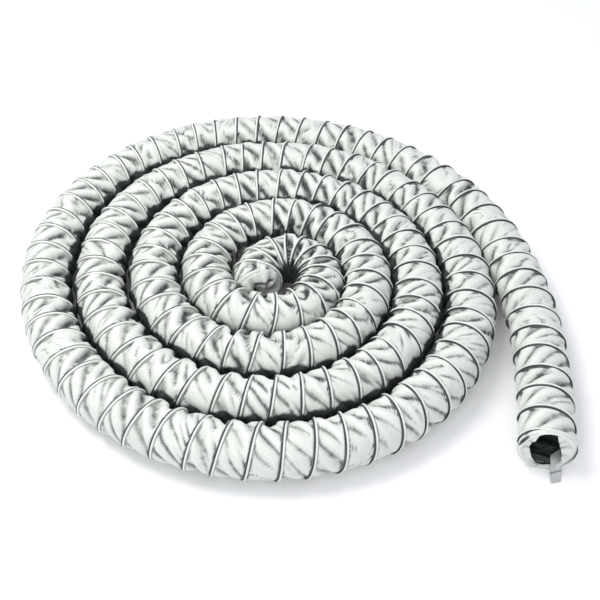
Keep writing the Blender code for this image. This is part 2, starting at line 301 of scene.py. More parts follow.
# ---- the studio
CAMERA_TARGET = (0.560, -0.0623)  # from the spiral's centre, in shares of UNIT
CAMERA_WAY = (0, -13.9131, 14.2388)  # from the target, the same
CAMERA_ROLL = 0.0379
CAMERA_LENS = 59.884
CAMERA_SENSOR = 36
CAMERA_FAR = 100
WORLD_COLOUR = (0.93, 0.95, 1.0, 1)
WORLD_STRENGTH = 0.94
# name, place, diameter and watts
LIGHTS = (("overhead", (-1.0, 0.1, 2.25), 1.2, 34), ("front", (-0.6, -2.6, 1.9), 1.6, 22))
FLOOR_HALF = 30


def dot(a, b):
    return np.einsum("...k,...k->...", a, b)


def unit(vectors):
    return vectors / np.linalg.norm(vectors, axis=-1, keepdims=True)


def above_floor(points, height):
    points[..., 2] = np.maximum(points[..., 2], height)


def smooth_noise(count, every, size, seed):
    """Smooth random line: knots every so many samples."""
    local = np.random.default_rng(seed)
    knots = int(count / every) + 4
    values = local.normal(0, size, knots)
    t = np.arange(count) / every
    k = t.astype(int)
    f = t - k
    f = f * f * (3 - 2 * f)
    return values[k] * (1 - f) + values[k + 1] * f


# ---- the route
def coil_point(turn):
    angle = COIL_START_ANGLE - TWO_PI * turn
    oval = turn / COIL_TURNS * (COIL_SHIFT * np.cos(angle) + COIL_OVAL * np.sin(2 * angle))
    radius = UNIT * (COIL_RADIUS_START + COIL_PITCH * turn - oval)
    return np.stack([radius * np.cos(angle), radius * np.sin(angle)], axis=-1)


def walk(point, heading, bends, way):
    headings = heading + way * ROUTE_STEP * np.cumsum(bends)
    steps = way * ROUTE_STEP * np.stack([np.cos(headings), np.sin(headings)], axis=-1)
    return point + np.cumsum(steps, axis=0), headings


def ease_in(plan):
    """Lays the turns a little off the plain spiral, as they fell."""
    angle = np.arctan2(plan[:, 1], plan[:, 0])
    share = np.clip(np.hypot(plan[:, 0], plan[:, 1]) / (COIL_TURNS * UNIT), 0, 1)
    bulge = 4 * share * (1 - share) * (BULGE[0] * np.cos(2 * angle) + BULGE[1] * np.sin(2 * angle))
    outer = np.clip((share - SPREAD_SHARES[0]) / SPREAD_SHARES[1], 0, 1)
    bulge += SPREAD * outer * (0.5 + 0.5 * np.cos(angle - SPREAD_ANGLE)) ** 2
    way = np.stack([np.cos(angle), np.sin(angle)], axis=-1)
    return plan + (1 - share)[:, None] * DRIFT + bulge[:, None] * way


def lengths_of(plan):
    steps = np.linalg.norm(np.diff(plan, axis=0), axis=1)
    return np.concatenate([[0], np.cumsum(steps)])


def make_route():
    """Plan, heading and turn of the coil, every ROUTE_STEP from the inner end to the mouth."""
    turns = np.linspace(LOOP_TURN, TAIL_TURN, COIL_SAMPLES)
    length = lengths_of(coil_point(turns))
    turns = np.interp(np.arange(0, length[-1], ROUTE_STEP), length, turns)
    plan = coil_point(turns)
    step = np.diff(plan, axis=0)
    heading = np.unwrap(np.arctan2(step[:, 1], step[:, 0]))
    heading = np.append(heading, 2 * heading[-1] - heading[-2])
    # the coil's bend at each end, read over a hundredth of it
    part = len(heading) // 100
    first = (heading[part] - heading[0]) / (part * ROUTE_STEP)
    last = (heading[-1] - heading[-1 - part]) / (part * ROUTE_STEP)
    along = np.arange(1, int(LOOP_LENGTH / ROUTE_STEP) + 1) * ROUTE_STEP
    share = np.minimum(along / LOOP_EASE, 1)
    share = share ** 2 * (3 - 2 * share)
    loop, loop_heading = walk(plan[0], heading[0], first - (1 / LOOP_RADIUS + first) * share, -1)
    loop_turns = LOOP_TURN - (loop_heading - heading[0]) / TWO_PI
    along = np.arange(1, int(TAIL_LENGTH / ROUTE_STEP) + 1) * ROUTE_STEP
    tail, _ = walk(plan[-1], heading[-1], last * np.maximum(1 - along / TAIL_EASE, 0), 1)
    plan = ease_in(np.concatenate([loop[::-1], plan, tail]))
    turns = np.concatenate([loop_turns[::-1], turns, np.full(len(along), TAIL_TURN)])
    length = lengths_of(plan)
    even = np.arange(0, length[-1], ROUTE_STEP)
    plan = np.stack([np.interp(even, length, plan[:, k]) for k in (0, 1)], axis=-1)
    step = np.gradient(plan, axis=0)
    heading = np.unwrap(np.arctan2(step[:, 1], step[:, 0]))
    return plan + SHIFT, heading, np.interp(even, length, turns)


PLAN, HEADING, TURNS = make_route()
LENGTHS = np.arange(len(PLAN)) * ROUTE_STEP
TOTAL = LENGTHS[-1]
BEND = np.gradient(HEADING, ROUTE_STEP)
for _ in range(BEND_ROUNDS):
    BEND = np.convolve(np.pad(BEND, BEND_WINDOW // 2, mode="edge"),
                       np.ones(BEND_WINDOW) / BEND_WINDOW, mode="valid")


def axis_at(s):
    x = np.interp(s, LENGTHS, PLAN[:, 0])
    y = np.interp(s, LENGTHS, PLAN[:, 1])
    heading = np.interp(s, LENGTHS, HEADING)
    over = s - np.clip(s, 0, TOTAL)
    return x + over * np.cos(heading), y + over * np.sin(heading), heading


def tube(s, around, radius, ahead=0.0):
    """Point on the duct: around is from its left side (the coil's outer side) over the top."""
    x, y, heading = axis_at(s)
    side, up = radius * np.cos(around), radius * np.sin(around)
    return np.stack([x - side * np.sin(heading) + ahead * np.cos(heading),
                     y + side * np.cos(heading) + ahead * np.sin(heading),
                     up + HEIGHT + 0 * x], axis=-1)


def frames(s):
    """Axis point and left direction at every length."""
    x, y, heading = axis_at(s)
    centre = np.stack([x, y, np.full_like(x, HEIGHT)], axis=-1)
    left = np.stack([-np.sin(heading), np.cos(heading), np.zeros_like(x)], axis=-1)
    return centre.astype(np.float32), left.astype(np.float32)


def stretch(s, around):
    """Length of the duct's side at this angle against the length of its middle."""
    bend = np.interp(s, LENGTHS, BEND)
    return np.maximum(1 - bend * RADIUS * np.cos(around), LEAST_STRETCH)


# ---- wire turns
PITCH = np.interp(TURNS, PITCH_TURNS, PITCHES)


def wind_wire():
    """Pitches passed, and length along the duct, at N_AROUND places of each wire turn."""
    passed = np.concatenate([[0], np.cumsum(ROUTE_STEP / PITCH[1:])])
    first = np.interp(RIM, LENGTHS, passed)
    whole = int(np.interp(TOTAL, LENGTHS, passed) - first + 0.7)
    step = np.ones(whole * N_AROUND)
    step[-N_AROUND:] = CLOSING_SHARE
    phase = np.concatenate([[0], np.cumsum(step)]) / N_AROUND
    phase = first + phase * (np.interp(TOTAL - RIM, LENGTHS, passed) - first) / phase[-1]
    s = np.interp(phase, passed, LENGTHS)
    wobble = sum(smooth_noise(len(s), *noise) for noise in WOBBLES)
    from_start = np.arange(len(s))
    fade = np.clip(np.minimum(from_start, len(s) - 1 - from_start) / WOBBLE_FADE, 0, 1)
    return phase, s + wobble * fade * np.clip(np.interp(s, LENGTHS, PITCH) / WOBBLE_PITCH, 0.4, 1)


PHASE, S = wind_wire()
M = len(S)
# left-handed: towards the mouth the wire turns from the top to the outer side
AROUND = np.pi / 2 - np.arange(M) * TWO_PI / N_AROUND
HEM_LIFT = smooth_noise(M, *HEM_NOISE)


# ---- cloth solve
def pairs(array, way, step, offset):
    """Two views of the cloth, one the neighbour of the other, that share no point."""
    if way == "around":
        a, b = array[offset:-step:2 * step], array[offset + step::2 * step]
        n = min(len(a), len(b))
        return a[:n], b[:n]
    a, b = array[:, offset:-step:2 * step], array[:, offset + step::2 * step]
    n = min(a.shape[1], b.shape[1])
    return a[:, :n], b[:, :n]


def pull(p, q, length, push=1.0, tug=1.0):
    """Moves pairs of points to their length: by tug when apart and by push when close."""
    d = q - p
    now = np.sqrt(dot(d, d)) + TINY
    gap = now - length
    gap = np.where(gap > 0, gap * tug, gap * push)
    move = (0.5 * gap / now)[..., None] * d
    p += move
    q -= move


def solve(x, width, twist, centre, left, stiff):
    """Cloth between two pinned edges. x is columns x rows x 3, and columns follow the helix.
    Width, twist and stiffness are the cloth's own, one number for each column."""
    cells = x.shape[1] - 1
    ring = FOOT * TWO_PI / N_AROUND
    rise = CLOTH_PITCH / N_AROUND
    across = (width / cells)[:, None].astype(np.float32)
    sheared = (twist * FOOT / cells)[:, None].astype(np.float32)
    length_i = np.float32(np.hypot(ring, rise))
    length_j = np.hypot(across, sheared)
    length_a = np.hypot(ring - sheared, rise + across)
    length_b = np.hypot(ring + sheared, across - rise)
    edge_low, edge_high = x[:, 0].copy(), x[:, -1].copy()
    for _ in range(ROUNDS):
        for par in (0, 1):
            a, b = pairs(x[:, 1:-1], "around", 1, par)
            pull(a, b, length_i)
        for par in (0, 1):
            a, b = pairs(x, "along", 1, par)
            pull(a, b, length_j)
        for par in (0, 1):
            a, b = x[par:-1:2, :-1], x[par + 1::2, 1:]
            n = min(len(a), len(b))
            pull(a[:n], b[:n], length_a[par:-1:2][:n], SHEAR_PUSH)
            a, b = x[par:-1:2, 1:], x[par + 1::2, :-1]
            pull(a[:n], b[:n], length_b[par:-1:2][:n], SHEAR_PUSH)
        for step in BEND_STEPS:
            for par in range(2 * step):
                a, b = pairs(x, "along", step, par)
                pull(a, b, step * length_j, stiff[:, None], 0)
                a, b = pairs(x[:, 1:-1], "around", step, par)
                pull(a, b, step * length_i, stiff[par:-step:2 * step][:len(a), None], 0)
        # stay within the room between the neighbouring turns and above the floor
        off = x - centre
        side = dot(off, left)
        up = off[..., 2]
        r = np.hypot(side, up) + TINY
        scale = np.clip(r, *REACH) / r - 1
        x += (side * scale)[..., None] * left
        x[..., 2] += up * scale
        above_floor(x, CLOTH_ABOVE)
        x[:, 0], x[:, -1] = edge_low, edge_high


def crossing_folds(columns, share, close):
    """Inward depth of sharp folds that slant from wire to wire, most of them the same way. Many
    start at one wire and run out before they reach the next."""
    local = np.random.default_rng(FOLD_SEED)
    step = TWO_PI / N_AROUND * FOOT
    depth = np.zeros((columns, len(share)))
    at = 0.0
    while at < columns * step:
        lean = local.normal(FOLD_LEAN, FOLD_LEAN_SPREAD)
        lean *= 1 if local.random() < FOLD_ODDS else FOLD_BACK
        half = local.uniform(*FOLD_HALF)
        size = local.uniform(*FOLD_SIZE)
        start, end = local.uniform(*FOLD_FROM), local.uniform(*FOLD_TO)
        bow = local.normal(0, FOLD_BOW)
        low = int(max(0, (at - FOLD_SPAN) / step))
        high = int(min(columns, (at + FOLD_SPAN) / step))
        arc = np.arange(low, high)[:, None] * step
        line = at - lean * (share - 0.5) + bow * np.sin(np.pi * share)
        window = np.clip(np.minimum(share - start, end - share) / FOLD_ENDS, 0, 1)
        narrow = half * (0.55 + 0.45 * window)
        fold = size * window * np.clip(1 - np.abs(arc - line) / narrow, 0, 1)
        depth[low:high] = np.maximum(depth[low:high], fold)
        at += local.uniform(*FOLD_GAP) * close[min(int(at / step), columns - 1)]
    return depth


def facets(columns, share):
    """Height, 0 to 1, of small flat facets with sharp edges."""
    local = np.random.default_rng(FACET_SEED)
    arc = (np.arange(columns) * TWO_PI / N_AROUND * FOOT)[:, None]
    shift_u, shift_v = (smooth_noise(columns, *noise)[:, None] for noise in FACET_NOISE)
    u = (arc + FOLD_LEAN * (share - 0.5)) / FACET_WIDTH + 3
    u = u + shift_u
    v = FACET_ROWS * share + shift_v * np.sin(np.pi * share)
    v = np.clip(v, 0, FACET_ROWS - 0.0001)
    height = local.random((int(u.max()) + 3, FACET_ROWS + 2))
    i, j = u.astype(int), v.astype(int)
    f, g = u - i, v - j
    h00, h10, h01, h11 = height[i, j], height[i + 1, j], height[i, j + 1], height[i + 1, j + 1]
    return np.where(f > g, h00 + f * (h10 - h00) + g * (h11 - h10),
                    h00 + g * (h01 - h00) + f * (h11 - h01))


def settle_cloth():
    """Cloth from each wire turn to the next, the hem's width and the cloth's distance from the
    duct's middle."""
    columns = M - N_AROUND
    s, s_next = S[:columns], S[N_AROUND:]
    around, around_next = AROUND[:columns], AROUND[N_AROUND:]
    gap = (s_next - s) * (stretch(s, around) + stretch(s_next, around_next)) / 2
    hem = np.minimum(HEM, gap * HEM_SHARE)
    low_edge = tube(s, around, CLOTH_LOW, CLOTH_START)
    high_edge = tube(s_next, around_next, FOOT, -hem)
    twist = np.clip(1 + smooth_noise(columns, *TWIST_NOISE), *TWIST_RANGE)
    twist = TWIST * np.where(twist < 0, np.minimum(twist, -LEAST_TWIST),
                             np.maximum(twist, LEAST_TWIST))
    # less cloth up to the last wire turn, which closes in on the one before
    cloth = CLOTH_PITCH * np.minimum(PHASE[N_AROUND:] - PHASE[:columns], 1)
    width = (np.maximum(cloth - HEM - CLOTH_START, LEAST_CLOTH)
             * (1 + smooth_noise(columns, *CLOTH_NOISE)))
    width = np.maximum(width, SPARE_CLOTH * (gap - hem - CLOTH_START))
    share = np.linspace(0, 1, N_ALONG + 1)
    s_all = s[:, None] * (1 - share) + s_next[:, None] * share
    cells = tube(s_all, np.repeat(around[:, None], len(share), axis=1), FOOT)
    slack = np.clip(1 - gap / cloth, 0, MOST_SLACK)
    close = (np.interp(s, LENGTHS, PITCH) / PITCHES[-1]) ** 1.6
    depth = crossing_folds(columns, share, close)
    depth = (depth * (FOLD_DEPTH[0] + FOLD_DEPTH[1] * slack)[:, None]
             * np.sin(np.pi * share) ** 0.5)
    centre, left = frames(s_all)
    cells = cells - unit(cells - centre) * depth[..., None]
    cells[:, 0], cells[:, -1] = low_edge, high_edge
    cells = cells.astype(np.float32)
    solve(cells, width, twist, centre, left, STIFFNESS * close ** 1.2)
    cells[1:-1, 1:-1] = (cells[1:-1, 1:-1] * 8 + cells[:-2, 1:-1] + cells[2:, 1:-1]
                         + cells[1:-1, :-2] + cells[1:-1, 2:]) / 12
    crumple = (facets(columns, share) - 0.5) * np.sin(np.pi * share) ** 0.4
    crumple = crumple * (FACET_DEPTH[0] + FACET_DEPTH[1] * slack)[:, None]
    cells = cells - unit(cells - centre) * crumple[..., None]
    above_floor(cells, CLOTH_ABOVE)
    off = cells - centre
    return cells, hem, np.hypot(dot(off, left), off[..., 2])


# ---- shade
def scaled(values, scale, least, most):
    return np.clip(values / scale, least, most)


def crease_shade(reach):
    """Painted shade and highlight of the cloth, from its distance from the duct's middle."""
    soft = reach.copy()
    for _ in range(SOFT_ROUNDS):
        soft[1:-1] = (soft[:-2] + soft[1:-1] * 2 + soft[2:]) / 4
        soft[:, 1:-1] = (soft[:, :-2] + soft[:, 1:-1] * 2 + soft[:, 2:]) / 4
    hollow = scaled(soft - reach, *HOLLOW_SHADE[:3])
    # painted dark lines in the valleys and painted highlights on the ridges
    line = np.zeros_like(reach)
    line[1:-1, 1:-1] = (reach[:-2, 1:-1] + reach[2:, 1:-1] + reach[1:-1, :-2] + reach[1:-1, 2:]
                        - 4 * reach[1:-1, 1:-1])
    line = scaled(line, *LINE_SHADE)
    line = np.sign(line) * np.clip(np.abs(line) - LEAST_LINE, 0, None)
    # painted shade on one side of each fold, as if lit from one side
    slope = np.zeros_like(reach)
    slope[1:-1] = reach[2:] - reach[:-2]
    slope = scaled(slope, *SLOPE_SHADE[:3])
    crease = HOLLOW_SHADE[3] * hollow + line + SLOPE_SHADE[3] * slope
    # painted shade beside the wire and the hem, and where the cloth lies deep
    crease[:, 0] += WIRE_SHADES[0]
    crease[:, 1] += WIRE_SHADES[1]
    crease[:, -1] += HEM_SHADE
    return np.clip(crease + scaled(FOOT - DEEP[0] - reach, DEEP[1], 0, DEEP[2]), -1, 1)


def contact_shade(points, s):
    """Painted shade in the gap beside the next turn, 0 to 1, from how deep the cloth lies there.
    """
    x, y, heading = axis_at(s)
    side = (-(points[..., 0] - x[:, None]) * np.sin(heading)[:, None]
            + (points[..., 1] - y[:, None]) * np.cos(heading)[:, None])
    turn = np.interp(s, LENGTHS, TURNS)[:, None]
    room = 2 * (RADIUS - np.abs(side))
    reach = np.hypot(side, points[..., 2] - HEIGHT)
    # which sides have a turn beside them
    outer = scaled(OUTER_TURNS[0] - turn, OUTER_TURNS[1], 0, 1)
    inner = (scaled(turn - INNER_TURNS[0], INNER_TURNS[1], 0, 1)
             * scaled(INNER_TURNS_END[0] - turn, INNER_TURNS_END[1], 0, 1))
    has = np.where(side > 0, outer, inner)
    ragged = smooth_noise(len(s), *GAP_NOISE)[:, None]
    open_gap = GAP_OPEN * scaled(GAP_OPEN_TURNS[0] - turn, GAP_OPEN_TURNS[1], 0, 1)
    folded = GAP_FOLDED[0] * np.clip(FOOT - reach, 0, GAP_FOLDED[1])
    # the painted shade is a row of dark pits, because the turns touch at their wires
    pit = np.full(points.shape[1], PIT[0])
    pit[:N_ALONG + 1] += PIT[1] * np.sin(np.pi * np.linspace(0, 1, N_ALONG + 1))
    depth = GAP_ROOM - open_gap - room + folded + ragged + pit
    # painted shade of a dark hole where the first loop closes in
    hole = (scaled(-side - HOLE_SIDE[0], HOLE_SIDE[1], 0, 1)
            * scaled(HOLE_TURNS[0] - turn, HOLE_TURNS[1], 0, 1))
    return np.maximum(has * scaled(depth, GAP_SOFT, 0, 1), hole)


def press(points, s):
    """Moves the inner end's cloth off the turn that it is pushed against. Returns how far."""
    moved = np.zeros(points.shape[:2])
    fade = np.clip((PRESS_LENGTH - s) / PRESS_FADE, 0, 1)
    last = int(np.sum(s < PRESS_LENGTH))
    block = points[:last]
    axis = PLAN[PRESS_AGAINST]
    gap = block[:, :, None, :2] - axis
    near = np.argmin(dot(gap, gap), axis=-1)
    away = block[..., :2] - axis[near]
    up = block[..., 2] - HEIGHT
    r = np.sqrt(dot(away, away) + up ** 2) + TINY
    push = np.clip(PRESS_REACH - r, 0, None) * fade[:last, None]
    block[..., :2] += away * (push / r)[..., None]
    block[..., 2] += up * push / r
    above_floor(block, PRESSED_ABOVE)
    moved[:last] = push
    return moved


# painted shade where the cloth is pressed against the next turn
def darken_pressed(shade, points, s):
    pushed = np.clip(press(points, s) / PRESS_SHADE, 0, 1)
    return shade * (1 - pushed) + pushed


def build_sleeve_rows():
    """Points of the cloth and the hem, and their painted shade."""
    cells, hem, reach = settle_cloth()
    s, around = S[N_AROUND:], AROUND[N_AROUND:]
    rows = [cells[:, j] for j in range(cells.shape[1])]
    for share, height, _ in HEM_PROFILE:
        point = tube(s, around, FOOT + height * (RADIUS - FOOT + HEM_LIFT[N_AROUND:]), share * hem)
        above_floor(point, 0.0)
        rows.append(point)
    points = np.stack(rows, axis=1)
    shade = crease_shade(reach)
    hem_shade = np.array([tone for _, _, tone in HEM_PROFILE])
    shade = np.concatenate([shade, np.repeat(hem_shade[None], len(shade), axis=0)], axis=1)
    return points, darken_pressed(shade, points, s)


# ---- meshes
def mesh_object(name, points, faces, material, smooth=True):
    mesh = bpy.data.meshes.new(name)
    mesh.vertices.add(len(points))
    mesh.vertices.foreach_set("co", np.ascontiguousarray(points, dtype=np.float32).ravel())
    faces = np.asarray(faces, dtype=np.int32)
    width = faces.shape[1]
    mesh.loops.add(faces.size)
    mesh.loops.foreach_set("vertex_index", faces.ravel())
    mesh.polygons.add(len(faces))
    mesh.polygons.foreach_set("loop_start", np.arange(0, faces.size, width, dtype=np.int32))
    mesh.polygons.foreach_set("loop_total", np.full(len(faces), width, dtype=np.int32))
    mesh.update(calc_edges=True)
    mesh.validate()
    if smooth:
        mesh.polygons.foreach_set("use_smooth", np.ones(len(mesh.polygons), dtype=bool))
    mesh.materials.append(material)
    obj = bpy.data.objects.new(name, mesh)
    bpy.context.scene.collection.objects.link(obj)
    return obj


def quads(index):
    """Faces of a grid of vertex numbers."""
    return np.stack([index[:-1, :-1], index[:-1, 1:], index[1:, 1:], index[1:, :-1]],
                    axis=-1).reshape(-1, 4)


def dress(obj, shade, u, v):
    """Gives a mesh its painted shade and its cloth coordinates, a number for each point."""
    data = obj.data.attributes.new("shade", "FLOAT", "POINT")
    data.data.foreach_set("value", np.ascontiguousarray(shade, dtype=np.float32).ravel())
    layer = obj.data.uv_layers.new(name="cloth")
    index = np.empty(len(obj.data.loops), dtype=np.int32)
    obj.data.loops.foreach_get("vertex_index", index)
    uv = np.stack([u.ravel()[index], v.ravel()[index]], axis=-1)
    layer.data.foreach_set("uv", np.ascontiguousarray(uv, dtype=np.float32).ravel())


def grid_object(name, points, material, shade, closed=False):
    """Sheet of quads from rows of points, joined round if closed."""
    n, m = points.shape[:2]
    index = np.arange(n * m).reshape(n, m)
    if closed:
        index = np.concatenate([index, index[:1]])
    obj = mesh_object(name, points.reshape(-1, 3), quads(index), material)
    along = np.diff(points, axis=1, prepend=points[:, :1])
    around = np.diff(points, axis=0, prepend=points[:1])
    dress(obj, shade, np.cumsum(np.linalg.norm(around, axis=-1), axis=0),
          np.cumsum(np.linalg.norm(along, axis=-1), axis=1))
    return obj


# ---- materials
def new_material(name):
    material = bpy.data.materials.new(name)
    material.use_nodes = True
    tree = material.node_tree
    return material, tree, tree.nodes["Principled BSDF"]


def add_noise(tree, coords, scale, detail, roughness=0.5):
    noise = tree.nodes.new("ShaderNodeTexNoise")
    noise.inputs["Scale"].default_value = scale
    noise.inputs["Detail"].default_value = detail
    noise.inputs["Roughness"].default_value = roughness
    tree.links.new(coords.outputs["Object"], noise.inputs["Vector"])
    return noise.outputs["Fac"]


def add_ramp(tree, factor, first, last, middle=None):
    """Colour ramp between stops, each a place and a colour."""
    ramp = tree.nodes.new("ShaderNodeValToRGB")
    elements = ramp.color_ramp.elements
    for element, (place, colour) in zip(elements, (first, last)):
        element.position = place
        element.color = (*colour, 1)
    if middle:
        elements.new(middle[0]).color = (*middle[1], 1)
    tree.links.new(factor, ramp.inputs["Fac"])
    return ramp.outputs["Color"]


def add_bump(tree, height, strength, distance, normal=None):
    bump = tree.nodes.new("ShaderNodeBump")
    bump.inputs["Strength"].default_value = strength
    bump.inputs["Distance"].default_value = distance
    tree.links.new(height, bump.inputs["Height"])
    if normal:
        tree.links.new(normal, bump.inputs["Normal"])
    return bump.outputs["Normal"]


def add_range(tree, value, side, ends):
    """Maps values from or to a range; the other side is 0 to 1."""
    spread = tree.nodes.new("ShaderNodeMapRange")
    spread.inputs[side + " Min"].default_value = ends[0]
    spread.inputs[side + " Max"].default_value = ends[1]
    tree.links.new(value, spread.inputs["Value"])
    return spread.outputs["Result"]


def add_weave(tree):
    uv = tree.nodes.new("ShaderNodeUVMap")
    uv.uv_map = "cloth"
    weave = tree.nodes.new("ShaderNodeMath")
    weave.operation = "MULTIPLY"
    for k, direction in enumerate("XY"):
        wave = tree.nodes.new("ShaderNodeTexWave")
        wave.bands_direction = direction
        wave.inputs["Scale"].default_value = WEAVE_SCALE
        wave.inputs["Distortion"].default_value = WEAVE_UNEVEN
        tree.links.new(uv.outputs["UV"], wave.inputs["Vector"])
        tree.links.new(wave.outputs["Fac"], weave.inputs[k])
    return weave.outputs["Value"]


def cloth_material(name, light, mid, dark):
    """Coated cloth, coloured by the painted shade that the mesh carries."""
    material, tree, shader = new_material(name)
    coords = tree.nodes.new("ShaderNodeTexCoord")
    mottle = add_noise(tree, coords, *MOTTLE)
    shade = tree.nodes.new("ShaderNodeAttribute")
    shade.attribute_name = "shade"
    loose = tree.nodes.new("ShaderNodeMath")
    loose.operation = "MULTIPLY_ADD"
    loose.inputs[1].default_value = MOTTLE_SHADE
    tree.links.new(mottle, loose.inputs[0])
    tree.links.new(shade.outputs["Fac"], loose.inputs[2])
    spread = add_range(tree, loose.outputs["Value"], "From", SHADE_ENDS)
    colour = add_ramp(tree, spread, (0.0, light), (1.0, dark), (MIDDLE_PLACE, mid))
    tree.links.new(colour, shader.inputs["Base Color"])
    crumpled = add_bump(tree, add_noise(tree, coords, *CRUMPLE), *CRUMPLE_BUMP)
    woven = add_bump(tree, add_weave(tree), *WEAVE_BUMP, crumpled)
    tree.links.new(woven, shader.inputs["Normal"])
    rough = add_range(tree, mottle, "To", CLOTH_ROUGHNESS)
    tree.links.new(rough, shader.inputs["Roughness"])
    shader.inputs["Metallic"].default_value = CLOTH_METALLIC
    return material


def plain_material(name, dark, light, scale, roughness, metallic, bump_size):
    material, tree, shader = new_material(name)
    coords = tree.nodes.new("ShaderNodeTexCoord")
    noise = add_noise(tree, coords, scale, 5)
    colour = add_ramp(tree, noise, (0.3, dark), (0.7, light))
    tree.links.new(colour, shader.inputs["Base Color"])
    tree.links.new(add_bump(tree, noise, 0.4, bump_size), shader.inputs["Normal"])
    shader.inputs["Roughness"].default_value = roughness
    shader.inputs["Metallic"].default_value = metallic
    return material


# ---- pieces
def build_sleeve(material, rows, crease):
    columns = len(rows)
    s, side = S[N_AROUND:], AROUND[N_AROUND:]
    around = np.arange(columns) * (TWO_PI / N_AROUND) * FOOT
    across = np.linspace(0, CLOTH_PITCH - HEM, N_ALONG + 1)
    over_hem = across[-1] + np.cumsum(np.full(len(HEM_PROFILE) + 1, HEM_STEP))
    across = np.concatenate([across, over_hem])
    pieces = []
    bounds = np.linspace(0, columns - 1, SLEEVE_PIECES + 1).astype(int)
    for k in range(SLEEVE_PIECES):
        span = slice(bounds[k], bounds[k + 1] + 1)
        # the last row joins the next turn's first row, which this block may not hold
        join = np.arange(span.start, span.stop) + N_AROUND
        ahead = tube(s[span], side[span], FOOT - JOIN_UNDER, 2 * WIRE_RADIUS + JOIN_UNDER)
        inside = join <= columns - 1
        ahead[inside] = rows[join[inside], 0]
        block = np.concatenate([rows[span], ahead[:, None]], axis=1)
        n, m = block.shape[:2]
        obj = mesh_object("sleeve_" + "abcdefgh"[k], block.reshape(-1, 3),
                          quads(np.arange(n * m).reshape(n, m)), material)
        # painted shade of the cloth and the join, with the painted shade of the gap beside the
        # next turn
        shade = np.concatenate([crease[span], np.full((n, 1), JOIN_SHADE)], axis=1)
        touch = contact_shade(block, s[span])
        dress(obj, shade * (1 - touch) + touch * GAP_SHADE,
              np.repeat(around[span][:, None], m, axis=1), np.repeat(across[None, :], n, axis=0))
        pieces.append(obj)
    return pieces


def opening_reach(around):
    """Distance from the duct's middle to the edge of the opening at the mouth."""
    corners = np.array(CUFF_CORNERS + CUFF_CORNERS[:1])
    t = np.linspace(0, 1, 60)[:-1, None]
    edge = np.concatenate([a * (1 - t) + b * t for a, b in zip(corners[:-1], corners[1:])])
    angle = np.arctan2(edge[:, 1], edge[:, 0])
    order = np.argsort(angle)
    return np.interp(around, angle[order], np.hypot(edge[:, 0], edge[:, 1])[order], period=TWO_PI)


def pleats(around, seed, waves, size):
    """Uneven waves round the duct."""
    local = np.random.default_rng(seed)
    return sum(local.uniform(0.4, 1) * np.sin(k * around + local.uniform(0, TWO_PI))
               for k in waves) * size


def zone(around, at, wide):
    """1 within a zone of the duct's rim, with soft edges."""
    return np.exp(-((np.angle(np.exp(1j * (around - at)))) / wide) ** 4)


def build_cuff(material):
    """Cloth past the last wire: over the wire, which shows at both sides, and turned in over
    the rim to an uneven opening."""
    around = AROUND[M - N_AROUND:]
    reach = opening_reach(around)
    pleat = pleats(around, *CUFF_PLEATS)
    bare = sum(zone(around, *place) for place in CUFF_BARE)
    cover = CUFF_COVER - BARE_COVER * bare
    # the lip is thin at the top and drawn back where the wire is bare
    lip = LIP_THIN * zone(around, *CUFF_THIN) - LIP_BARE * bare
    base = np.full(N_AROUND, TOTAL - RIM)
    end = np.full(N_AROUND, TOTAL)
    rows, shades = [], []
    # over the last wire turn, round the lip, and into the bore
    for foot, table in ((FOOT, CUFF_FOOT_ROWS), (cover, CUFF_COVER_ROWS)):
        for above, ahead, tone in table:
            rows.append(tube(base, around, foot + above, ahead))
            # painted shade, darkest where the wire is bare
            shades.append(tone + (1 - tone) * bare)
    for above, ahead in LIP_ROWS:
        rows.append(tube(end, around, FOOT + above + lip, ahead - LIP_BACK * bare))
        # painted highlight round the lip
        shades.append(np.full(N_AROUND, LIP_SHADE))
    for share in np.linspace(0.08, 1, 9):
        radius = (TURNED_IN + lip) * (1 - share) + reach * share
        sink = -TURNED_IN_SAG * np.sin(np.pi * share) - TURNED_IN_BACK * np.maximum(share, bare)
        radius = np.minimum(radius, TURNED_IN_MOST + np.maximum(lip, 0))
        rows.append(tube(end, around, radius, sink + pleat * (0.3 + share)))
        # painted shade in the pleats, a painted highlight on their crests
        shades.append(scaled(-pleat, TURNED_IN_SHADE, -0.7, 0.7) * (0.3 + 0.7 * share) - 0.1)
    for inset, ahead in BORE_ROWS:
        rows.append(tube(end, around, np.minimum(reach - inset, BORE_MOST), ahead + pleat))
        # painted shade in the bore
        shades.append(np.full(N_AROUND, BORE_SHADE))
    points = np.stack(rows, axis=1)
    above_floor(points, END_ABOVE)
    return grid_object("cuff", points, material, np.stack(shades, axis=1), closed=True)


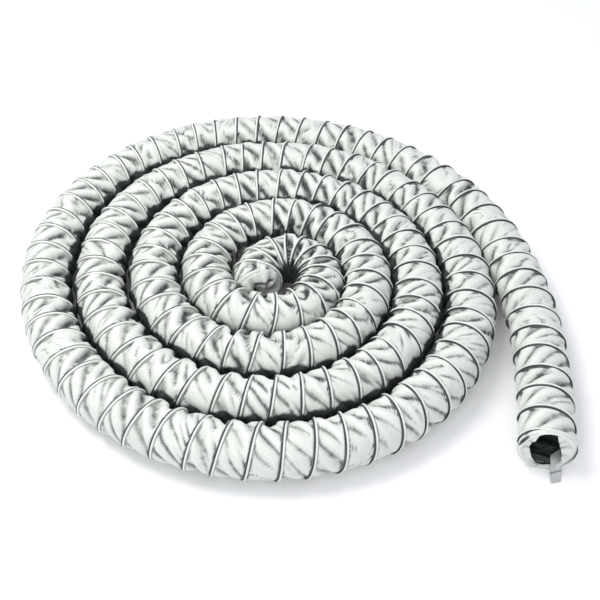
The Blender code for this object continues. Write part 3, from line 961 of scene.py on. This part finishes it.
def build_inner_end(material):
    """Hem over the first wire turn, and the cloth past it, folded in across the duct's end."""
    s, around = S[:N_AROUND + 1], AROUND[:N_AROUND + 1]
    pleat = pleats(around, *END_PLEATS)
    rows = [tube(s, around, CLOTH_LOW, CLOTH_START)]
    # painted shade beside the wire, a painted highlight over the hem and painted shade at its
    # front edge
    shades = [np.full(len(s), 0.8)]
    for share, height, _ in reversed(HEM_PROFILE):
        rows.append(tube(s, around, FOOT + height * (RADIUS - FOOT), share * HEM))
        shades.append(np.full(len(s), -0.7 if share < 0 else 0.5))
    for share in np.linspace(0, 1, 7):
        at = (s - HEM) * (1 - share) + END_START * share
        sag = np.sin(np.pi * share)
        rows.append(tube(at, around, FOOT - sag * (END_SLACK[0] + np.abs(pleat) * END_SLACK[1])))
        # painted shade in the pleats, a painted highlight on their crests
        shades.append(np.clip(0.2 + pleat / END_SHADE * sag, -0.5, 1))
    start = np.zeros(len(s))
    for share in np.linspace(0.04, 1, 25):
        radius = FOOT * (1 - END_TURNED_IN * share)
        # one deep level fold above the middle
        over, up = radius * np.cos(around), radius * np.sin(around)
        off = np.abs(up - FOLD_IN[2] - FOLD_IN_SLANT * over)
        fold = (np.clip(1 - off / FOLD_IN_HALF, 0, 1)
                * np.clip((over - FOLD_IN[0]) / FOLD_IN_ENDS, 0, 1)
                * np.clip((FOLD_IN[1] - over) / FOLD_IN_ENDS, 0, 1))
        ahead = -END_HOLLOW * np.sin(np.pi * min(share * 1.3, 1)) + END_RISE * share
        ahead = ahead + pleat * END_DEEPER * share + FOLD_IN_AHEAD * fold
        point = tube(start, around, radius, ahead)
        point[:, 2] -= END_SAG * share
        rows.append(point)
        # painted shade in the pleats, darker towards the middle, darkest in the deep fold
        shade = scaled(pleat, END_CAP_SHADE, -0.8, 1.0) * (0.5 + share) - 0.2
        shade = shade + max(0, share - END_DARK_FROM) * END_DARK
        shades.append(np.minimum(shade, 1) * (1 - fold) + FOLD_IN_SHADE * fold)
    points = np.stack(rows, axis=1)
    above_floor(points, END_ABOVE)
    shade = darken_pressed(np.stack(shades, axis=1), points, np.sort(s))
    return grid_object("inner_end", points, material, shade)


def build_lining(material, rows, crease):
    """Inner face of the cloth, as far as it shows through the mouth, coloured near black as
    painted shade inside the duct.
    """
    turns = LINING_TURNS * N_AROUND
    cells = rows[-turns:, :N_ALONG + 1]
    s, around = S[-turns:], AROUND[-turns:]
    x, y, _ = axis_at((s[:, None] + S[-turns - N_AROUND:-N_AROUND, None]) / 2)
    inward = np.stack([x - cells[..., 0], y - cells[..., 1], HEIGHT - cells[..., 2]], axis=-1)
    seams = [tube(s, around, LINING_SEAM, ahead)[:, None] for ahead in (0.0, 2 * WIRE_RADIUS)]
    points = np.concatenate([cells + LINING_INSIDE * unit(inward), *seams], axis=1)
    seam_shade = np.full((turns, 2), LINING_SEAM_SHADE)
    shade = np.concatenate([crease[-turns:, :N_ALONG + 1], seam_shade], axis=1)
    return grid_object("lining", points, material, np.clip(shade, -1, 1))


def smooth_path(knots, count):
    knots = np.array(knots)
    t = np.linspace(0, len(knots) - 1, count)
    k = np.minimum(t.astype(int), len(knots) - 2)
    f = (t - k)[:, None]
    slope = np.gradient(knots, axis=0)
    a, b, da, db = knots[k], knots[k + 1], slope[k], slope[k + 1]
    return ((1 + 2 * f) * (1 - f) ** 2 * a + f * (1 - f) ** 2 * da
            + f ** 2 * (3 - 2 * f) * b + f ** 2 * (f - 1) * db)


def build_strap(material):
    """Woven strap from the bore, over the lower lip and down to the floor."""
    path = smooth_path(STRAP_PATH, STRAP_POINTS)
    x, y, heading = axis_at(TOTAL)
    left = np.array([-np.sin(heading), np.cos(heading), 0])
    forward = np.array([np.cos(heading), np.sin(heading), 0])
    middle = np.array([x, y, 0]) + path[:, :1] * left + path[:, 1:2] * forward
    middle[:, 2] = path[:, 2]
    way = unit(np.gradient(middle, axis=0))
    across = unit(np.cross(np.broadcast_to([0, 0, 1.0], way.shape), way))
    normal = np.cross(way, across)
    half, thick = STRAP_WIDTH / 2, STRAP_THICKNESS / 2
    length = lengths_of(middle)
    left_over = length[-1] - length
    curl = STRAP_CURL * np.sin(length / STRAP_CURL_LENGTH)
    crease_at, crease_slant, crease_width = STRAP_CREASE
    rows, shades = [], []
    for side, up in STRAP_SECTION:
        crease = np.exp(-((left_over - crease_at - crease_slant * side) / crease_width) ** 2)
        lift = curl * side + thick * (up - 0.5 * crease)
        slant = -side * (STRAP_SLANTS[1] * np.clip(1 - left_over / STRAP_CUT, 0, 1)
                         + STRAP_SLANTS[0] * np.clip(1 - length / STRAP_CUT, 0, 1))
        rows.append(middle + across * side * half + normal * lift[:, None] + way * slant[:, None])
        # painted shade in the crease; the rows at both edges are darker
        shades.append(np.clip(crease * 1.4 + (0.35 if abs(side) > 0.93 else -0.1), -1, 1))
    points = np.stack(rows + rows[:1], axis=1)
    shade = np.stack(shades + shades[:1], axis=1)
    # closed at both ends
    caps = [np.repeat(points[end].mean(axis=0)[None, None], points.shape[1], axis=1)
            for end in (0, -1)]
    points = np.concatenate([caps[0], points, caps[1]])
    above_floor(points, THIN_ABOVE)
    return grid_object("strap_ribbon", points, material, np.pad(shade, ((1, 1), (0, 0))))


def build_wire(material):
    # the cloth lies over the wire here and there, mostly on top
    ragged = np.clip(0.6 + smooth_noise(M, *SUNK_NOISE), 0, 1.6)
    sunk = SUNK * np.clip(np.sin(AROUND), 0, 1) * ragged
    rows = []
    for angle in np.arange(WIRE_SIDES) * TWO_PI / WIRE_SIDES:
        radius = FOOT + WIRE_LIFT - sunk + HEM_LIFT + WIRE_RADIUS * np.sin(angle)
        rows.append(tube(S, AROUND, radius, WIRE_GAP + WIRE_RADIUS * (1 + np.cos(angle))))
    points = np.stack(rows, axis=1)
    above_floor(points, THIN_ABOVE)
    press(points, S)
    index = np.arange(points.shape[0] * points.shape[1]).reshape(points.shape[:2])
    index = np.concatenate([index, index[:, :1]], axis=1)
    return mesh_object("wire", points.reshape(-1, 3), quads(index), material)


# ---- the studio
def add_camera():
    data = bpy.data.cameras.new("camera")
    data.sensor_width = CAMERA_SENSOR
    data.lens = CAMERA_LENS
    data.clip_end = CAMERA_FAR
    camera = bpy.data.objects.new("camera", data)
    bpy.context.scene.collection.objects.link(camera)
    target = np.array([SHIFT[0] + CAMERA_TARGET[0] * UNIT, SHIFT[1] + CAMERA_TARGET[1] * UNIT, 0])
    place = target + UNIT * np.array(CAMERA_WAY)
    forward = unit(target - place)
    right = np.array([1.0, 0, 0])
    up = np.cross(right, forward)
    cos, sin = np.cos(CAMERA_ROLL), np.sin(CAMERA_ROLL)
    matrix = np.eye(4)
    matrix[:3] = np.stack([cos * right + sin * up, -sin * right + cos * up, -forward, place],
                          axis=1)
    camera.matrix_world = Matrix(matrix.tolist())
    bpy.context.scene.camera = camera


def add_light(name, place, size, power):
    data = bpy.data.lights.new(name, "AREA")
    data.shape = "DISK"
    data.size = size
    data.energy = power
    light = bpy.data.objects.new(name, data)
    bpy.context.scene.collection.objects.link(light)
    light.location = place
    light.rotation_euler = (-Vector(place)).to_track_quat("-Z", "Y").to_euler()


def add_studio():
    scene = bpy.context.scene
    world = bpy.data.worlds.new("studio")
    scene.world = world
    world.use_nodes = True
    background = world.node_tree.nodes["Background"]
    background.inputs["Color"].default_value = WORLD_COLOUR
    background.inputs["Strength"].default_value = WORLD_STRENGTH
    for light in LIGHTS:
        add_light(*light)
    scene.view_settings.view_transform = "Standard"


def main():
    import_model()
    cloth = cloth_material("coated_cloth", *CLOTH_COLOURS)
    inside = cloth_material("cloth_inside", *LINING_COLOURS)
    wire = plain_material("spring_wire", *WIRE_COLOURS, *WIRE_SURFACE)
    strap = cloth_material("strap_cloth", *STRAP_COLOURS)
    floor_stuff = plain_material("floor_pale", *FLOOR_COLOURS, *FLOOR_SURFACE)

    rows, crease = build_sleeve_rows()
    sleeve = build_sleeve(cloth, rows, crease)
    sleeve += [build_cuff(cloth), build_inner_end(cloth), build_lining(inside, rows, crease)]
    for obj in sleeve:
        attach(obj, "root")
        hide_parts("duct_sleeve")
    wire_obj = build_wire(wire)
    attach(wire_obj, "root")
    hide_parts("wire_helix")
    ribbon = build_strap(strap)
    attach(ribbon, "root")
    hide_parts("strap")

    half = FLOOR_HALF
    floor = mesh_object("floor", [(-half, -half, 0), (half, -half, 0), (half, half, 0),
                                  (-half, half, 0)], [(0, 1, 2, 3)], floor_stuff, smooth=False)

    add_camera()
    add_studio()


main()
